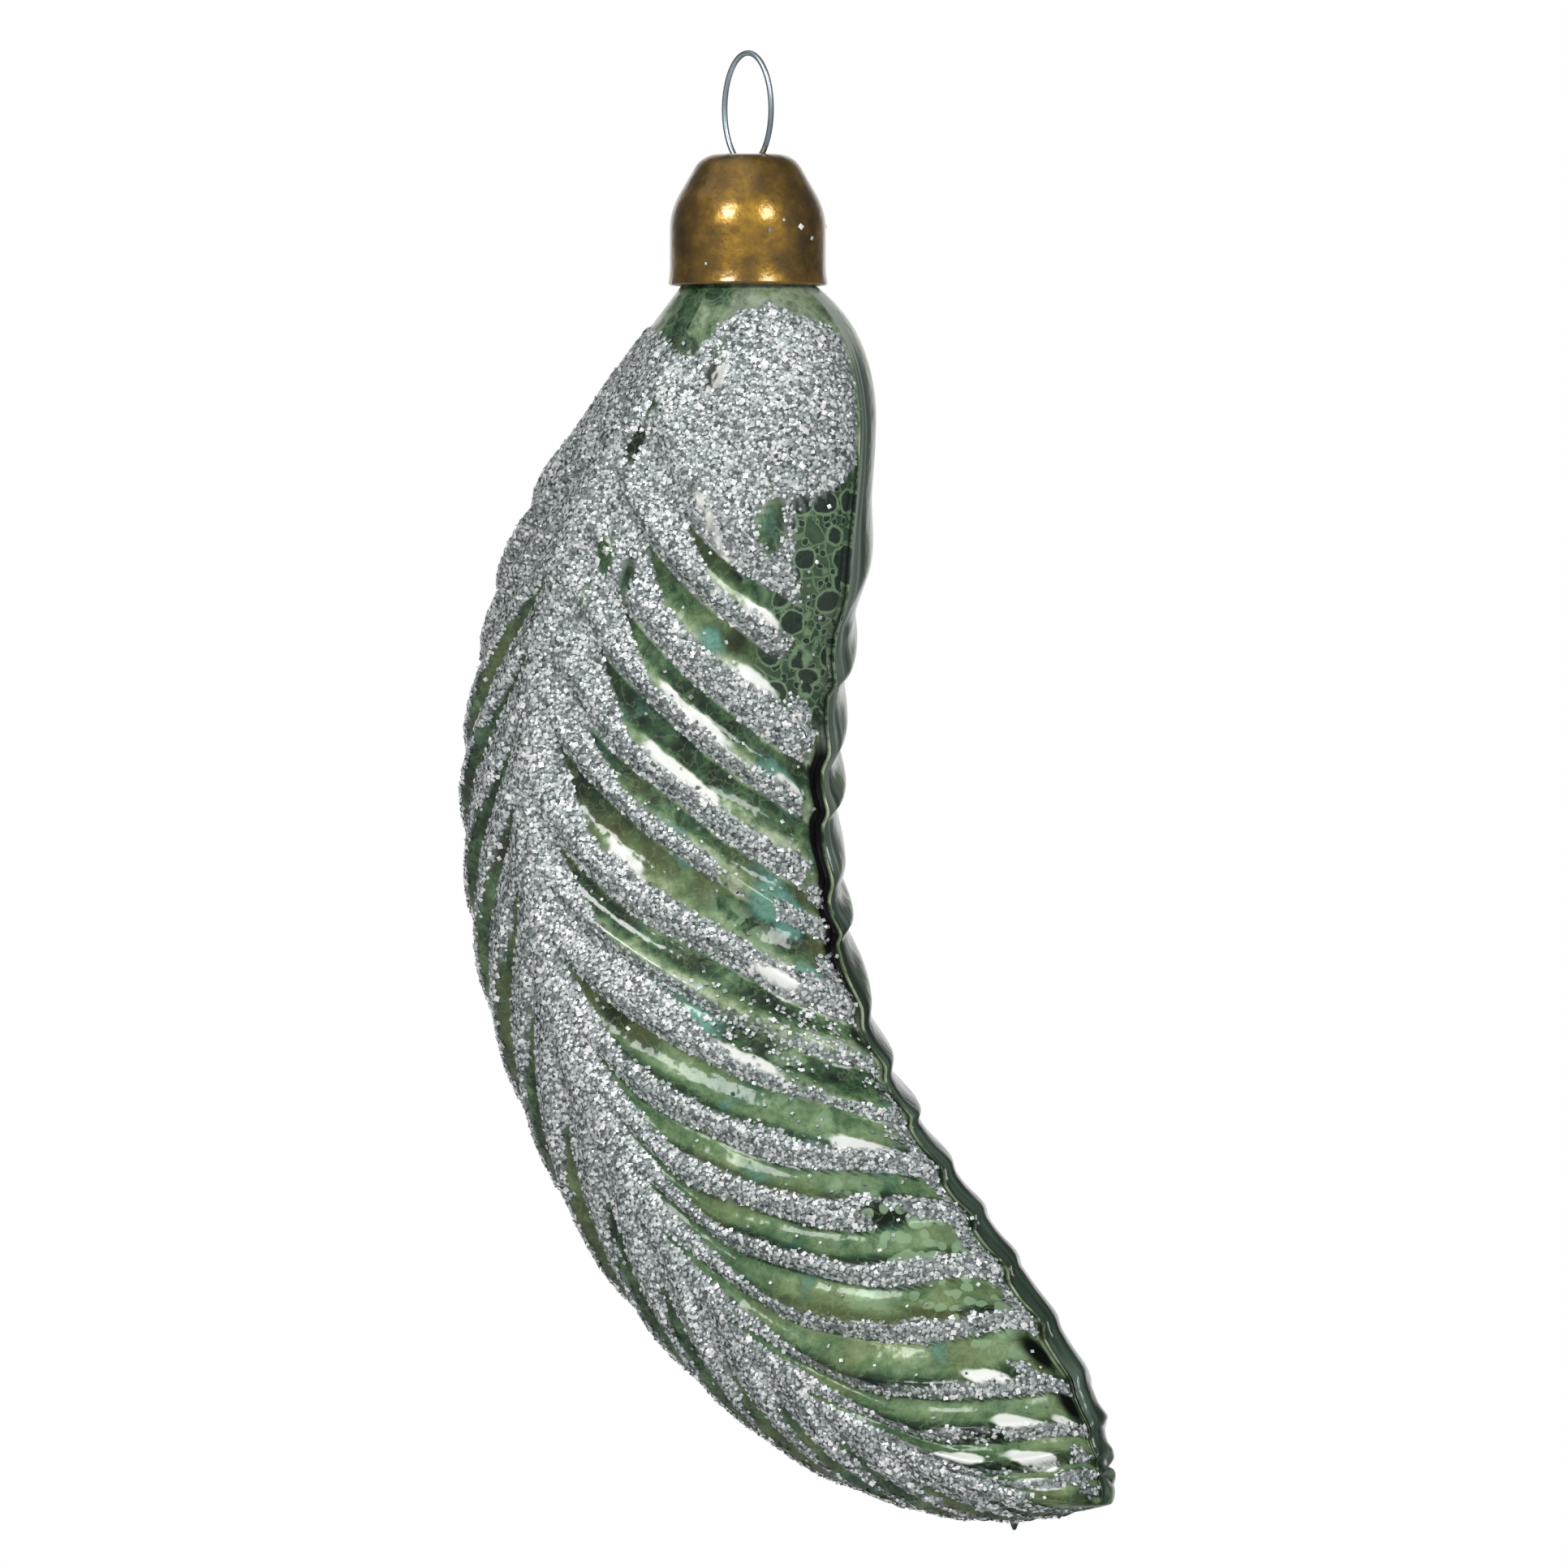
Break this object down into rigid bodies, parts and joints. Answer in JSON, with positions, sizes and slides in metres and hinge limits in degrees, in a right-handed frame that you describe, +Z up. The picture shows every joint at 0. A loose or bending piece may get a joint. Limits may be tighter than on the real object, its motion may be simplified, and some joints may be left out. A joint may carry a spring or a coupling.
{
  "type": "glass feather ornament",
  "caption": "Hollow blown glass feather with glitter along its barbs, a brass cap over the neck and a spring wire loop to hang it by.",
  "frame": {"origin": "hang point, inside the top of the wire loop", "axes": "+Z up along the cap's axis, +X towards the tip in the plane of the feather, -Y out of the glittered front"},
  "size_m": [0.074, 0.0318, 0.1411],
  "materials": {
    "spring_steel": "drawn spring wire, bright",
    "antique_brass": "pressed sheet, antique brown brass, lacquered",
    "silvered_glass": "green blown glass, mottled silvering inside, gloss outside",
    "glitter": "silver flakes in clear glue"
  },
  "bodies": {
    "hanger": {"hanger_wire": "spring_steel"},
    "cap": {"cap": "antique_brass"},
    "feather": {"glass_feather": "silvered_glass", "glitter_crown": "glitter", "glitter_shaft": "glitter", "glitter_right_barbs": "glitter", "glitter_left_barbs": "glitter"}
  },
  "joints": [
    {"name": "wire_draw", "type": "slide", "parent": "hanger", "child": "cap", "axis": [0, 0, -1], "range_m": [0, 0.003]},
    {"name": "neck_pull", "type": "slide", "parent": "cap", "child": "feather", "axis": [0, 0, -1], "range_m": [0, 0.022]}
  ]
}
